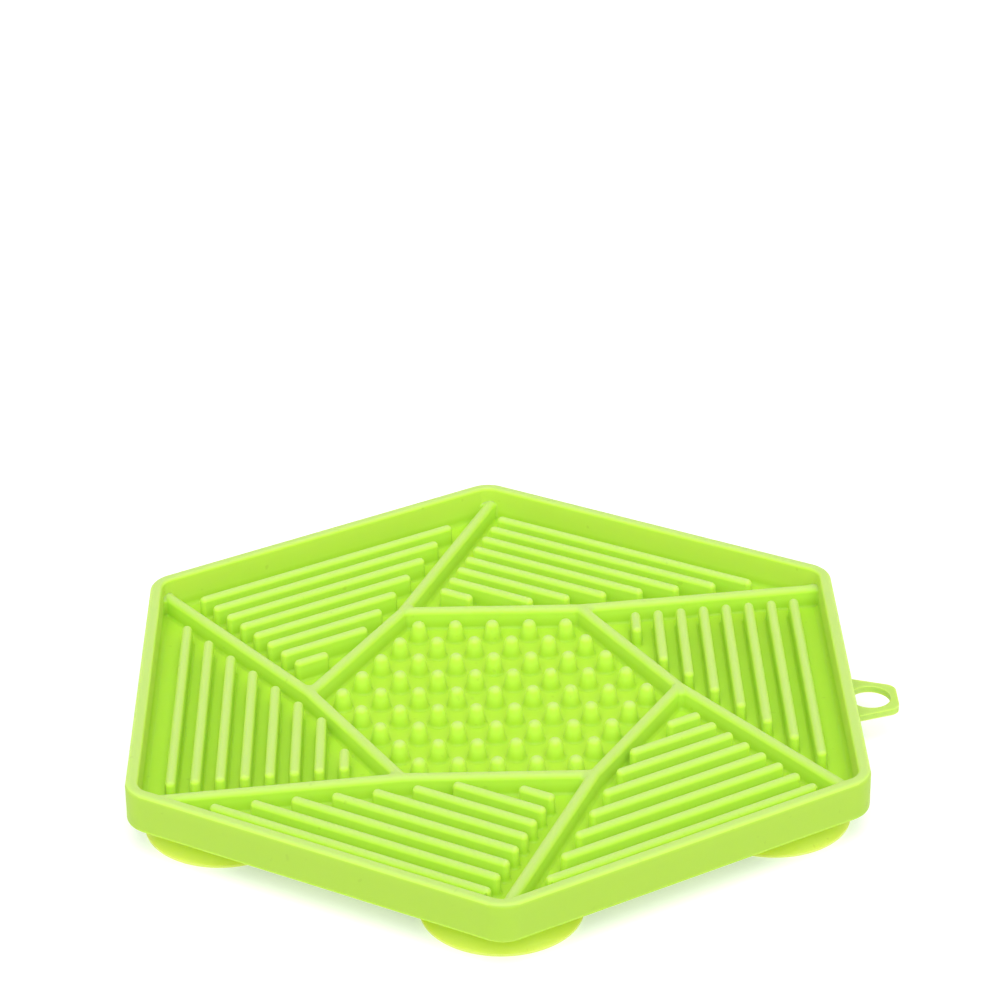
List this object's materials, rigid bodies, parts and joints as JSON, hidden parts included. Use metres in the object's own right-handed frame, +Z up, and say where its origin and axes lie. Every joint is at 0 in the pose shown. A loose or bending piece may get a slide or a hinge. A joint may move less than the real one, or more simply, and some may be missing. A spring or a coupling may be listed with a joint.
{
  "type": "lick mat",
  "caption": "Hexagonal silicone lick mat with a raised rim, ribbed fields round a patch of nubs, a hanging loop and plug-in suction cups underneath.",
  "frame": {"origin": "centre of the footprint, hanging loop included, on the plane that the suction cups' lips rest on", "axes": "+Z up out of the mat, +Y from the front corner to the back corner, +X towards the hanging loop"},
  "size_m": [0.192, 0.205, 0.0184],
  "materials": {
    "lime_silicone": "matt moulded silicone, lime green",
    "clear_lime_silicone": "semi-clear moulded silicone, yellower lime green"
  },
  "bodies": {
    "mat": {"tray": "lime_silicone"},
    "cup_front": {"suction_cup_front": "clear_lime_silicone"},
    "cup_front_right": {"suction_cup_front_right": "clear_lime_silicone"},
    "cup_back_right": {"suction_cup_back_right": "clear_lime_silicone"},
    "cup_back": {"suction_cup_back": "clear_lime_silicone"},
    "cup_back_left": {"suction_cup_back_left": "clear_lime_silicone"},
    "cup_front_left": {"suction_cup_front_left": "clear_lime_silicone"}
  },
  "joints": [
    {"name": "cup_front_turn", "type": "hinge", "parent": "mat", "child": "cup_front", "pos_m": [-0.0062, -0.07715, 0.007], "axis": [0, 0, 1], "continuous": true},
    {"name": "cup_front_right_turn", "type": "hinge", "parent": "mat", "child": "cup_front_right", "pos_m": [0.06062, -0.03858, 0.007], "axis": [0, 0, 1], "continuous": true},
    {"name": "cup_back_right_turn", "type": "hinge", "parent": "mat", "child": "cup_back_right", "pos_m": [0.06062, 0.03858, 0.007], "axis": [0, 0, 1], "continuous": true},
    {"name": "cup_back_turn", "type": "hinge", "parent": "mat", "child": "cup_back", "pos_m": [-0.0062, 0.07715, 0.007], "axis": [0, 0, 1], "continuous": true},
    {"name": "cup_back_left_turn", "type": "hinge", "parent": "mat", "child": "cup_back_left", "pos_m": [-0.07302, 0.03858, 0.007], "axis": [0, 0, 1], "continuous": true},
    {"name": "cup_front_left_turn", "type": "hinge", "parent": "mat", "child": "cup_front_left", "pos_m": [-0.07302, -0.03858, 0.007], "axis": [0, 0, 1], "continuous": true}
  ]
}
